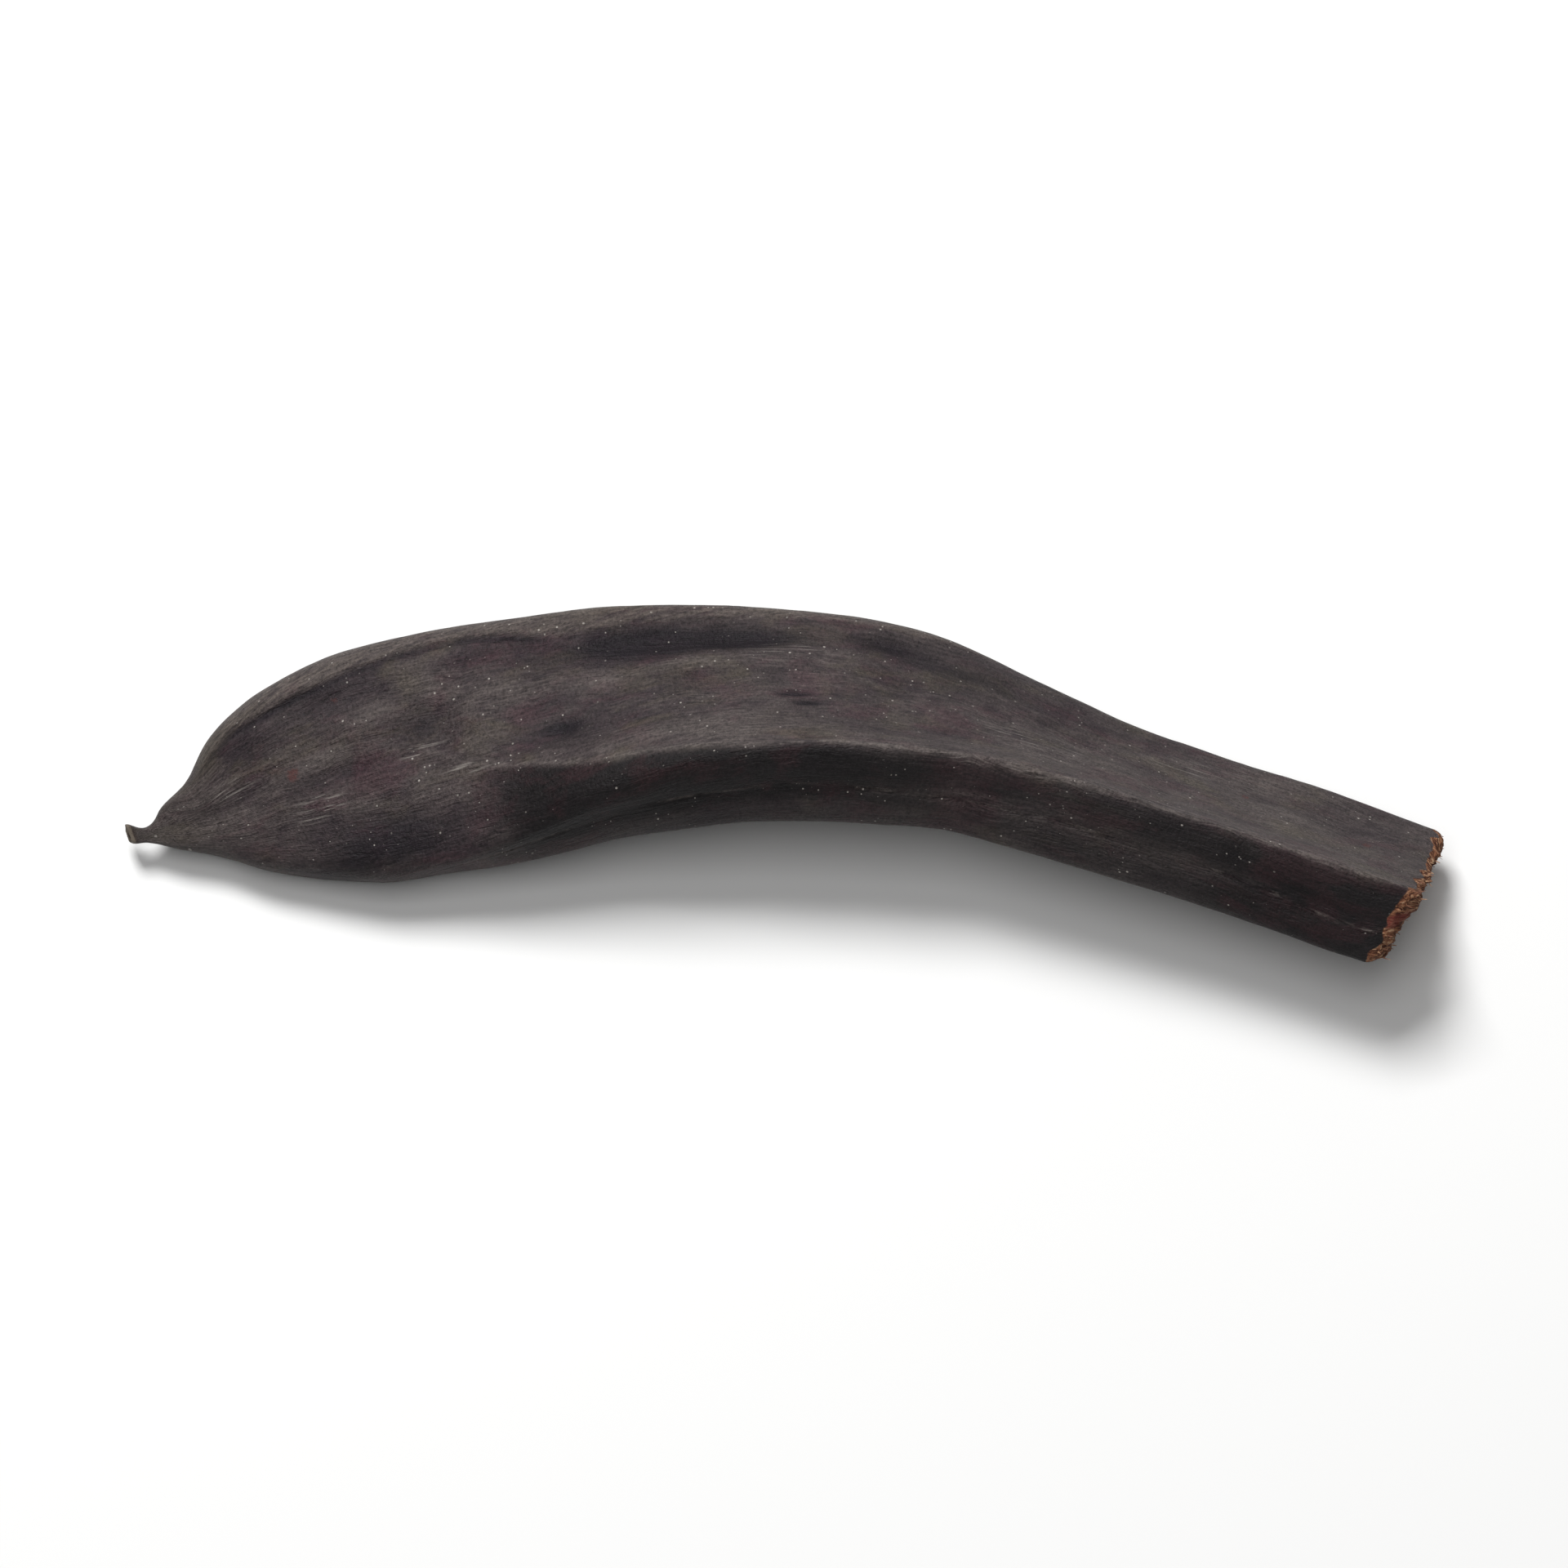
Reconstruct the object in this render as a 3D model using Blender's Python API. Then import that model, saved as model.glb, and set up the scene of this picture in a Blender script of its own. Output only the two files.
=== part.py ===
"""A dried carob pod, snapped off at one end, with a seed in the chamber that the break laid open.

Run it with: blender --background --python part.py

The pod lies on the ground plane, its stalk at -X and its broken end at +X. It is bent like a sickle and
twisted: near the stalk it lies flat on one face, and from the middle on it leans over its outer seam. So it
rests on three low points. Lengths are in millimetres until a point is placed in the scene.

Along the pod, "along" is the distance from the stalk's end. Across it, "across" runs from the inner seam
(negative) to the outer seam (positive), and "through" from the lower face to the upper one.
"""

import math

import bmesh
import bpy
import numpy as np
from mathutils import Matrix, Vector, noise

MM = 0.001

# The middle line from the stalk to the break: x, y and height.
MIDDLE_LINE = (
    (-66.6, -3.8, 3.8),
    (-64.4, -4.0, 3.9),
    (-62.3, -3.6, 4.0),
    (-58.4, -1.8, 4.3),
    (-52.4, 0.5, 4.7),
    (-43.9, 2.5, 5.3),
    (-32.4, 4.4, 7.0),
    (-18.4, 6.7, 9.2),
    (-0.4, 7.5, 10.8),
    (14.6, 5.8, 10.6),
    (31.6, -0.1, 9.9),
    (47.6, -5.4, 9.4),
    (63.6, -11.0, 9.0),
)

# Distance along, half the width from seam to seam, half the thickness, lean over the outer seam in
# degrees, and how far the section has gone from plump (0) to crested (1).
BODY = (
    (0.0, 0.86, 0.80, -10.0, 0.0),
    (1.4, 0.64, 0.62, -10.0, 0.0),
    (2.8, 0.85, 0.80, -10.0, 0.0),
    (4.4, 1.5, 1.3, -10.0, 0.0),
    (7.5, 3.5, 2.2, -10.0, 0.0),
    (12.0, 7.1, 3.4, -9.0, 0.0),
    (19.0, 10.5, 4.3, -7.0, 0.1),
    (27.0, 12.2, 4.8, -1.0, 0.3),
    (38.0, 12.5, 5.0, 12.0, 0.6),
    (50.0, 12.3, 5.0, 27.0, 0.9),
    (66.0, 12.2, 4.9, 38.0, 1.0),
    (80.0, 11.8, 4.8, 43.0, 1.0),
    (92.0, 10.2, 4.6, 49.0, 1.0),
    (104.0, 9.4, 4.5, 53.0, 1.0),
    (140.0, 9.0, 4.4, 53.0, 1.0),
)

# The fold that the twist raises on the upper face. It starts as a low swell and runs out to the crest of
# the inner seam: distance along, place across, and how steeply the face falls away beyond it.
FOLD = (
    (0.0, -2.0, 0.0),
    (21.0, -2.4, 0.0),
    (28.0, -3.3, 0.16),
    (34.0, -4.2, 0.32),
    (43.0, -6.6, 0.45),
    (53.0, -9.8, 0.50),
    (62.0, -12.0, 0.50),
    (80.0, -14.0, 0.0),
    (140.0, -14.0, 0.0),
)
FOLD_SOFTNESS = 0.8

# Half of a section, from the outer seam over the upper face to the inner seam: the share of the way
# round, then the place across and through, as shares of half the width and half the thickness.
PLUMP_SECTION = (
    (0.00, 1.00, 0.00),
    (0.06, 0.985, 0.32),
    (0.14, 0.92, 0.66),
    (0.24, 0.78, 0.88),
    (0.36, 0.50, 0.97),
    (0.50, 0.08, 0.94),
    (0.64, -0.34, 0.96),
    (0.76, -0.66, 0.92),
    (0.86, -0.87, 0.72),
    (0.94, -0.975, 0.36),
    (1.00, -0.99, 0.00),
)
CRESTED_SECTION = (
    (0.00, 0.975, 0.00),
    (0.06, 1.00, 0.38),
    (0.14, 0.95, 0.82),
    (0.24, 0.80, 0.99),
    (0.36, 0.52, 0.87),
    (0.50, 0.08, 0.76),
    (0.64, -0.36, 0.80),
    (0.76, -0.68, 0.94),
    (0.86, -0.91, 1.06),
    (0.90, -0.965, 0.93),
    (0.95, -0.99, 0.46),
    (1.00, -0.94, 0.00),
)
POINTS_PER_HALF = 25

POINTS_ROUND = 2 * POINTS_PER_HALF

RING_SPACING = 1.4
STUB_LENGTH = 4.0
STUB_RINGS = 7
SCAR_DEPTH = 0.3
SCAR_SHARE = 0.55

# The seeds inside swell both faces a little.
SEEDLESS_LENGTH = 20.0
SEED_SPACING = 9.3
SEED_SWELLING = 0.42
SWELLING_ALONG = 3.6
SWELLING_ACROSS = 4.5

# Soft hollows on the upper face: distance along, place across, depth, reach along, reach across.
HOLLOWS = (
    (33.6, 1.9, 0.6, 3.6, 2.6),
    (46.8, -1.8, 0.5, 3.6, 2.4),
    (62.0, 8.0, 0.8, 6.5, 2.2),
    (98.0, 1.0, 0.5, 6.0, 2.5),
)
UNEVENNESS = 0.28
UNEVENNESS_REACH = 9.0
EDGE_UNEVENNESS = 0.14
EDGE_REACH = 6.0

# The relief fades out over the outer part of a face, and where the pod is narrower than this.
EDGE_FADE = 2.2
WIDE_ENOUGH = 10.0

# The break: its slant from seam to seam and from face to face, and how ragged it is. The rings next to it
# lean towards its slant over the last stretch of the pod.
BREAK_SLANT_ACROSS = 0.6
BREAK_SLANT_THROUGH = 0.9
BREAK_RAGGED = 0.55
BREAK_REACH = 12.0

# Loops across the torn pulp, which stands out past the skin's edge: share of the way from the skin to the
# chamber's mouth, and depth.
PULP_LOOPS = ((0.10, -0.30), (0.34, -1.05), (0.68, -0.75), (1.0, 0.25))

# Loops down the chamber's wall: depth, and size as a share of the mouth's.
WALL_LOOPS = ((2.2, 1.0), (4.2, 1.0), (6.0, 0.93), (7.1, 0.72))
CHAMBER_HALF_WIDTH = 4.4
CHAMBER_HALF_HEIGHT = 2.15
CHAMBER_SQUARENESS = 0.8
CHAMBER_DEPTH = 7.6

SEED_HALF_LENGTH = 4.0
SEED_HALF_WIDTH = 3.1
SEED_HALF_THICKNESS = 1.8
SEED_SET_BACK = 3.5

MOST_SETTLING_TURNS = 30
SETTLED_ANGLE = 1e-5

SKIN_COLOUR = (0.062, 0.050, 0.047)
SEED_COLOUR = (0.19, 0.055, 0.03)


def clear_scene():
    for old in list(bpy.data.objects):
        bpy.data.objects.remove(old)


def material(name, colour, roughness):
    made = bpy.data.materials.new(name)
    made.use_nodes = True
    shader = made.node_tree.nodes["Principled BSDF"]
    shader.inputs["Base Color"].default_value = (*colour, 1.0)
    shader.inputs["Roughness"].default_value = roughness
    shader.inputs["Metallic"].default_value = 0.0
    return made


def smooth_through(rows, at):
    """Smooth curves through the rows, whose first column is the place, that never swing past a row."""
    rows = np.array(rows)
    place, value = rows[:, 0], rows[:, 1:]
    gap = np.diff(place)[:, None]
    rise = np.diff(value, axis=0) / gap
    before, after = rise[:-1], rise[1:]
    same_way = before * after > 0
    total = np.where(same_way, before + after, 1.0)
    slope = np.empty_like(value)
    slope[1:-1] = np.where(same_way, 2 * before * after / total, 0.0)
    slope[0], slope[-1] = rise[0], rise[-1]
    at = np.atleast_1d(at)
    i = np.clip(np.searchsorted(place, at) - 1, 0, len(place) - 2)
    f = ((at - place[i]) / gap[i, 0])[:, None]
    start = (1 + 2 * f) * (1 - f) ** 2 * value[i] + f * (1 - f) ** 2 * gap[i] * slope[i]
    end = f * f * (3 - 2 * f) * value[i + 1] + f * f * (f - 1) * gap[i] * slope[i + 1]
    return start + end


class Course:
    """The pod's middle line, with the directions across and through it at any distance along."""

    def __init__(self, steps=400):
        knots = np.array(MIDDLE_LINE)
        apart = np.linalg.norm(np.diff(knots, axis=0), axis=1)
        share = np.concatenate([[0.0], np.cumsum(apart)])
        fine = self.rounded(knots, share, np.linspace(0, share[-1], steps))
        travelled = np.linalg.norm(np.diff(fine, axis=0), axis=1)
        self.points = fine
        self.along = np.concatenate([[0.0], np.cumsum(travelled)])
        self.length = self.along[-1]

    @staticmethod
    def rounded(knots, share, at):
        """A natural cubic spline, so that the line bends evenly."""
        gap = np.diff(share)
        count = len(share)
        system = np.eye(count)
        pull = np.zeros_like(knots)
        for i in range(1, count - 1):
            system[i, i - 1 : i + 2] = gap[i - 1], 2 * (gap[i - 1] + gap[i]), gap[i]
            before = (knots[i] - knots[i - 1]) / gap[i - 1]
            after = (knots[i + 1] - knots[i]) / gap[i]
            pull[i] = 6 * (after - before)
        bend = np.linalg.solve(system, pull)
        i = np.clip(np.searchsorted(share, at) - 1, 0, count - 2)
        h = gap[i][:, None]
        left, past = (share[i + 1] - at)[:, None], (at - share[i])[:, None]
        curve = (bend[i] * left**3 + bend[i + 1] * past**3) / (6 * h)
        start = (knots[i] / h - bend[i] * h / 6) * left
        end = (knots[i + 1] / h - bend[i + 1] * h / 6) * past
        return curve + start + end

    def middle(self, along):
        return np.array([np.interp(along, self.along, self.points[:, k]) for k in range(3)])

    def frame(self, along):
        """The directions along, across and through the pod."""
        near = min(max(along, 0.5), self.length - 0.5)
        ahead = self.middle(near + 0.5) - self.middle(near - 0.5)
        ahead /= np.linalg.norm(ahead)
        level = np.cross((0, 0, 1), ahead)
        level /= np.linalg.norm(level)
        upright = np.cross(ahead, level)
        lean = math.radians(smooth_through(BODY, along)[0][2])
        across = math.cos(lean) * level - math.sin(lean) * upright
        through = math.sin(lean) * level + math.cos(lean) * upright
        return ahead, across, through

    def place(self, along, across, through):
        """The point in the scene, in metres. Past the middle line's end it goes straight on."""
        ahead, sideways, upward = self.frame(along)
        on_line = min(max(along, 0.0), self.length)
        point = self.middle(on_line) + (along - on_line) * ahead
        return Vector(point + across * sideways + through * upward) * MM


def bell(distance, reach):
    return math.exp(-((distance / reach) ** 2))


def seed_places(course):
    """Where the seeds lie along the pod, counted back from the one in the open chamber."""
    last = course.length - SEED_SET_BACK
    count = int((last - SEEDLESS_LENGTH) / SEED_SPACING)
    return [last - k * SEED_SPACING for k in range(count + 1)]


def relief(along, across, upper, seeds, fade):
    """How far a face stands out at this place: over the seeds, in the hollows and where it is uneven."""
    height = 0.0
    for place in seeds:
        height += SEED_SWELLING * bell(along - place, SWELLING_ALONG) * bell(across, SWELLING_ACROSS)
    if upper:
        for place, side, depth, reach_along, reach_across in HOLLOWS:
            height -= depth * bell(along - place, reach_along) * bell(across - side, reach_across)
    spot = Vector((along, across * 1.4, 40.0 if upper else 80.0)) / UNEVENNESS_REACH
    height += UNEVENNESS * noise.noise(spot) + 0.4 * UNEVENNESS * noise.noise(spot * 2.7)
    return height * fade


def fold_drop(along, across):
    """How far the upper face has fallen away beyond the fold."""
    place, steepness = smooth_through(FOLD, along)[0]
    beyond = (place - across) / FOLD_SOFTNESS
    return steepness * FOLD_SOFTNESS * math.log1p(math.exp(min(beyond, 40.0)))


def half_outline(crested):
    """Half of a section, between its plump form and its crested one."""
    share = np.linspace(0, 1, POINTS_PER_HALF + 1)
    plump = smooth_through(PLUMP_SECTION, share)
    crest = smooth_through(CRESTED_SECTION, share)
    return (1 - crested) * plump + crested * crest


def section(along, seeds):
    """The outline of the pod at this distance along, as places across and through."""
    half_width, half_thickness, _, crested = smooth_through(BODY, along)[0]
    half = half_outline(crested)
    size = min(half_width / WIDE_ENOUGH, 1.0)
    outline = []
    for i in range(POINTS_ROUND):
        side = 1 if i <= POINTS_PER_HALF else -1
        wide, thick = half[i if side > 0 else POINTS_ROUND - i]
        across = wide * half_width
        flatness = min(1.0, EDGE_FADE * (1 - abs(wide))) * size
        through = thick * half_thickness + relief(along, across, side > 0, seeds, flatness)
        if side > 0:
            through -= thick * fold_drop(along, across)
        edge = noise.noise(Vector((along, math.copysign(EDGE_REACH, wide), 0.5)) / EDGE_REACH)
        outline.append((across + EDGE_UNEVENNESS * edge * abs(wide) * size, side * through))
    return outline


def break_offset(course, across, through):
    """How far the break lies before or past the end of the middle line."""
    half_width, half_thickness = smooth_through(BODY, course.length)[0][:2]
    slant = BREAK_SLANT_ACROSS * across / half_width + BREAK_SLANT_THROUGH * through / half_thickness
    spot = Vector((across, through, 5.0))
    return slant + BREAK_RAGGED * (noise.noise(spot / 2.6) + 0.7 * noise.noise(spot / 1.1))


def ring_places(course):
    """Distances along for the rings: close on the small stub, even over the rest."""
    stub = np.linspace(0, STUB_LENGTH, STUB_RINGS)
    count = round((course.length - STUB_LENGTH) / RING_SPACING)
    return np.concatenate([stub, np.linspace(STUB_LENGTH, course.length, count + 1)[1:]])


def add_ring(mesh, points):
    return [mesh.verts.new(point) for point in points]


def bridge(mesh, one, other):
    count = len(one)
    for i in range(count):
        k = (i + 1) % count
        mesh.faces.new((one[i], one[k], other[k], other[i]))


def close_ring(mesh, ring, centre):
    middle = mesh.verts.new(centre)
    for i in range(len(ring)):
        mesh.faces.new((ring[i], ring[(i + 1) % len(ring)], middle))


def finish(mesh, name, made_of):
    bmesh.ops.recalc_face_normals(mesh, faces=mesh.faces)
    data = bpy.data.meshes.new(name)
    mesh.to_mesh(data)
    mesh.free()
    data.shade_smooth()
    data.materials.append(made_of)
    piece = bpy.data.objects.new(name, data)
    bpy.context.scene.collection.objects.link(piece)
    return piece


def rounded_share(value):
    return math.copysign(abs(value) ** CHAMBER_SQUARENESS, value)


def chamber_outline():
    """The mouth of the seed chamber, with a point for each point of the pod's section."""
    angles = [2 * math.pi * i / POINTS_ROUND for i in range(POINTS_ROUND)]
    return [
        (CHAMBER_HALF_WIDTH * rounded_share(math.cos(a)), CHAMBER_HALF_HEIGHT * rounded_share(math.sin(a)))
        for a in angles
    ]


def add_skin(mesh, course, seeds):
    """The rings of the pod's skin, from the stalk's end to the break. Gives the first and the last."""
    rings = []
    for along in ring_places(course):
        near_break = max(0.0, 1 - (course.length - along) / BREAK_REACH) ** 2
        points = []
        for across, through in section(along, seeds):
            shift = near_break * break_offset(course, across, through)
            points.append(course.place(along + shift, across, through))
        rings.append(add_ring(mesh, points))
    for one, other in zip(rings, rings[1:]):
        bridge(mesh, one, other)
    return rings[0], rings[-1]


def add_scar(mesh, course, seeds, stalk_end):
    """The scar where the pod came off its twig: a shallow dish."""
    outline = section(0.0, seeds)
    points = [course.place(SCAR_DEPTH, SCAR_SHARE * u, SCAR_SHARE * w) for u, w in outline]
    dish = add_ring(mesh, points)
    bridge(mesh, stalk_end, dish)
    close_ring(mesh, dish, course.place(SCAR_DEPTH, 0, 0))


def add_break(mesh, course, seeds, last):
    """The torn pulp across the break, and the seed chamber that goes down from it."""
    rim = section(course.length, seeds)
    mouth = chamber_outline()
    for share, recess in PULP_LOOPS:
        points = []
        for (u0, w0), (u1, w1) in zip(rim, mouth):
            across, through = u0 + share * (u1 - u0), w0 + share * (w1 - w0)
            depth = recess - break_offset(course, across, through)
            points.append(course.place(course.length - depth, across, through))
        ring = add_ring(mesh, points)
        bridge(mesh, last, ring)
        last = ring
    for depth, size in WALL_LOOPS:
        along = course.length - depth
        ring = add_ring(mesh, [course.place(along, size * u, size * w) for u, w in mouth])
        bridge(mesh, last, ring)
        last = ring
    close_ring(mesh, last, course.place(course.length - CHAMBER_DEPTH, 0, 0))


def make_pod(course):
    seeds = seed_places(course)
    mesh = bmesh.new()
    stalk_end, broken_end = add_skin(mesh, course, seeds)
    add_scar(mesh, course, seeds, stalk_end)
    add_break(mesh, course, seeds, broken_end)
    return finish(mesh, "pod", material("pod skin", SKIN_COLOUR, 0.6))


def make_seed(course):
    """A flattened seed that lies across the pod in its open chamber."""
    mesh = bmesh.new()
    bmesh.ops.create_uvsphere(mesh, u_segments=18, v_segments=11, radius=1.0)
    along = course.length - SEED_SET_BACK
    for vert in mesh.verts:
        x, y, z = vert.co
        vert.co = course.place(along + y * SEED_HALF_WIDTH, x * SEED_HALF_LENGTH, z * SEED_HALF_THICKNESS)
    return finish(mesh, "seed", material("seed coat", SEED_COLOUR, 0.3))


def weight_centre(piece):
    """The centre of the volume inside a closed mesh."""
    piece.data.calc_loop_triangles()
    points = np.array([vert.co for vert in piece.data.vertices])
    corners = points[[list(face.vertices) for face in piece.data.loop_triangles]]
    volume = np.linalg.det(corners)
    return (corners.sum(axis=1) * volume[:, None]).sum(axis=0) / (4 * volume.sum())


def resting_turn(piece):
    """The turn that lays the piece on the three low points round its weight."""
    hull = bmesh.new()
    for vert in piece.data.vertices:
        hull.verts.new(vert.co)
    bmesh.ops.convex_hull(hull, input=hull.verts)
    bmesh.ops.triangulate(hull, faces=hull.faces)
    bmesh.ops.recalc_face_normals(hull, faces=hull.faces)
    centre = Vector(weight_centre(piece))
    turn = Matrix.Identity(3)
    for _ in range(MOST_SETTLING_TURNS):
        down = turn.inverted() @ Vector((0, 0, -1))
        under = min(
            (face for face in hull.faces if face.normal.dot(down) > 0),
            key=lambda face: (face.verts[0].co - centre).dot(face.normal) / face.normal.dot(down),
        )
        step = (turn @ under.normal).rotation_difference(Vector((0, 0, -1)))
        turn = step.to_matrix() @ turn
        if step.angle < SETTLED_ANGLE:
            break
    hull.free()
    return turn


def settle(pieces):
    """Lays the pieces down on the ground plane, with the origin under the middle of their box."""
    turn = resting_turn(pieces[0]).to_4x4()
    for piece in pieces:
        piece.data.transform(turn)
    points = np.array([vert.co for piece in pieces for vert in piece.data.vertices])
    low, high = points.min(axis=0), points.max(axis=0)
    shift = Matrix.Translation((-(low[0] + high[0]) / 2, -(low[1] + high[1]) / 2, -low[2]))
    for piece in pieces:
        piece.data.transform(shift)


def main():
    clear_scene()
    course = Course()
    settle([make_pod(course), make_seed(course)])


main()
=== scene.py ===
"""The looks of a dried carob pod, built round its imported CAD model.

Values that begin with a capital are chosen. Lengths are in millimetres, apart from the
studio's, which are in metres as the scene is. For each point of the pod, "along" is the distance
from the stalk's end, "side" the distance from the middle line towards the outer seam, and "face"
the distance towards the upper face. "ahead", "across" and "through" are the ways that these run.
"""

import math
import random

import bpy
import numpy as np
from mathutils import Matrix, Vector, noise


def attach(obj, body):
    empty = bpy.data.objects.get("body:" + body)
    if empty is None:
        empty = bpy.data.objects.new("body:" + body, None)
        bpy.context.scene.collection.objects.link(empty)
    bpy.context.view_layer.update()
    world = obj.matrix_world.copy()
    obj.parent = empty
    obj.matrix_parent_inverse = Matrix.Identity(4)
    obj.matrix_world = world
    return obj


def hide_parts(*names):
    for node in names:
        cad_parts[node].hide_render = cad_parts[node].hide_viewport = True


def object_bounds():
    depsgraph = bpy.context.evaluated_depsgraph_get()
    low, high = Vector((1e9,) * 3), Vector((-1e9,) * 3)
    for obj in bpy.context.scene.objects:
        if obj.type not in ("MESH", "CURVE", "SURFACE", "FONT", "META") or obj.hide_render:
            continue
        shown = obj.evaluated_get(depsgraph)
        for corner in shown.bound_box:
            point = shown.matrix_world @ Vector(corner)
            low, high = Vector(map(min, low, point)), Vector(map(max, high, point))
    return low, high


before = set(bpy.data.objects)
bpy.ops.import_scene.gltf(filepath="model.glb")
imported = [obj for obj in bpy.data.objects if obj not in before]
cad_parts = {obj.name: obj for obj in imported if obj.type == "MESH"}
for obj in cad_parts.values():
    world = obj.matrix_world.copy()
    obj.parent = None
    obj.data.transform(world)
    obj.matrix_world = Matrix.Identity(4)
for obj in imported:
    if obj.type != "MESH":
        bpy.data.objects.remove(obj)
cad_low, cad_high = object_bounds()


# The pod itself: stalk stub, leathery skin, two seams and sweet fibrous pulp, all grown as one piece.
# It wrinkled and twisted as it dried on the tree, and was later snapped across a seed chamber. Its
# mesh is a finer copy of the CAD solid, with the wrinkles and the torn pulp in relief.

MM = 0.001
Merged_within = 0.01
Tiny = 1e-5

# The middle line: x, y, height, and the lean over the outer seam in degrees.
Middle_line = np.array((
    (-67.2, -4.1, 3.7, -10.0),
    (-65.0, -4.3, 3.8, -10.0),
    (-62.9, -3.9, 3.9, -10.0),
    (-59.0, -2.1, 4.2, -9.9),
    (-53.0, 0.2, 4.6, -8.2),
    (-44.5, 2.2, 5.2, -3.9),
    (-33.0, 4.1, 6.9, 8.9),
    (-19.0, 6.4, 9.0, 27.1),
    (-1.0, 7.3, 10.7, 38.9),
    (14.0, 5.6, 10.5, 44.6),
    (31.0, -0.4, 9.8, 52.7),
    (47.0, -5.7, 9.4, 53.0),
    (63.0, -11.3, 9.0, 53.0),
))
Length = 135.1

# The smooth curve through it: where it begins and ends, its degree, the steps that measure it, and
# the rounds that find the nearest place on it.
Line_from = Middle_line[0, 0] - 1
Line_to = Middle_line[-1, 0] + 3
Line_degree = 8
Line_steps = 300
Search_rounds = 8

# Depths behind the break: of its torn faces, of the chamber, and of where the chamber's far end
# starts. Then half the chamber's width and height.
Torn_depth = 3.2
Chamber_depth = 9.5
Chamber_end_depth = 5.5
Chamber_half_width = 5
Chamber_half_height = 2.6

# How far faces look ahead, or outwards, where they belong to each: 1 is straight that way.
Tear_looks_ahead = 0.35
Chamber_end_looks_ahead = 0.6
Chamber_walls_look_out = -0.2
Scar_looks_ahead = -0.5
Scar_reach = 1

# Lines on the upper face: distance along, place across.
Ridge_line = (
    (28, 0.9), (31, 0.2), (34, -1.5), (36.5, -3.3), (39, -4.3), (44, -5.7), (49, -7.8), (53, -8.7),
    (59, -9.8), (66, -11.0), (80, -10.7), (92, -9.3), (104, -8.6), (120, -8.1), (140, -7.2),
)
Rim_line = (
    (9, 4.6), (14, 7.0), (20, 8.2), (30, 9.8), (37, 10.2), (42, 9.6), (47, 8.4), (60, 9.2), (80, 9.4),
    (140, 9.0),
)
Fine_crease_line = ((46, 8.3), (53, 6.0))

# How far each ridge or crease reaches from its line, and how far the second ridge is from the first.
Ridge_reach = 0.40
Second_ridge_reach = 0.28
Second_ridge_gap = 1.0
Crease_reach = 0.45
Crease_gap = 0.4
Fine_crease_reach = 0.22
Seam_reach = 0.55

# The stretches along the pod where each of them comes in, and where it goes out again.
Ridge_in = (28, 34)
Second_ridge_in = (86, 104)
Rim_in = (5, 14)
Crease_in = (8, 18)
Crease_out = (50, 42)
Fine_crease_in = (45, 47)
Fine_crease_out = (54, 52)
Stalk_edge_in = (3, 6)
Stalk_edge_out = (21, 16)
Underside_in = (36, 44)
Half_shaded_lower_face_out = (105, 85)
Plain_end_in = (85, 105)
Bright_crest_in = (50, 90)

# Humps and hollows on the upper face: distance along, place across, height, reach along and across.
Dents = (
    (14.5, 4.2, -0.22, 3.6, 1.7),
    (20.5, 1.6, 0.16, 3.0, 1.1),
    (22.5, 6.8, -0.26, 3.0, 0.9),
    (24.5, -0.6, -0.26, 3.4, 0.9),
    (25.5, 3.9, 0.22, 3.0, 1.4),
    (32.8, 2.3, -0.36, 2.8, 1.2),
    (38.5, -1.9, 0.24, 3.0, 1.6),
    (41.5, 3.4, 0.24, 4.8, 1.2),
    (45.2, 1.1, -0.28, 2.2, 1.2),
    (47.3, -2.1, -0.30, 2.4, 1.0),
    (51.5, 2.4, 0.24, 4.0, 1.1),
    (53.5, -6.3, 0.16, 5.0, 1.0),
    (54.0, 6.7, -0.40, 5.4, 1.3),
    (60.5, 3.2, 0.26, 4.6, 1.0),
    (65.0, 6.3, -0.44, 5.4, 1.3),
    (70.0, -1.9, -0.26, 1.8, 0.4),
    (71.5, -3.3, -0.24, 1.6, 0.4),
    (73.5, 3.0, 0.20, 4.2, 1.7),
    (78.5, 7.0, -0.30, 4.6, 1.1),
    (84.0, 3.4, -0.16, 5.0, 1.4),
)

# The same for patches that only change the painted shading. Dark ones are painted shade where the
# solid itself is hollow, in two narrow grooves and low on the inner side towards the stalk; the
# others only make it darker, and the last two are paler.
Patches = (
    (33.6, 1.9, -0.24, 4.0, 2.2),
    (46.8, -1.8, -0.24, 4.0, 2.0),
    (60.0, 6.6, -0.75, 9.5, 1.9),
    (13.0, 5.4, -0.22, 5.0, 1.6),
    (27.0, 8.0, -0.25, 7.0, 1.1),
    (40.0, 8.2, -0.22, 6.0, 1.2),
    (19.5, -1.2, -0.24, 2.6, 2.0),
    (29.5, -3.4, -0.16, 3.4, 1.5),
    (24.5, 3.0, -0.20, 3.5, 2.0),
    (70.0, -1.9, -0.70, 1.8, 0.35),
    (71.5, -3.3, -0.70, 1.6, 0.32),
    (58.0, 10.5, -0.30, 9.0, 1.8),
    (88.0, 7.0, -0.42, 14.0, 3.8),
    (95.0, -1.0, -0.14, 6.0, 2.0),
    (66.0, 2.4, -0.24, 6.0, 2.4),
    (17.0, -5.6, -0.20, 8.0, 2.0),
    (26.0, -9.4, -0.85, 9.0, 2.6),
    (8.0, -1.5, 0.20, 6.0, 4.0),
    (118.0, 1.5, 0.12, 11.0, 5.0),
)
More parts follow.
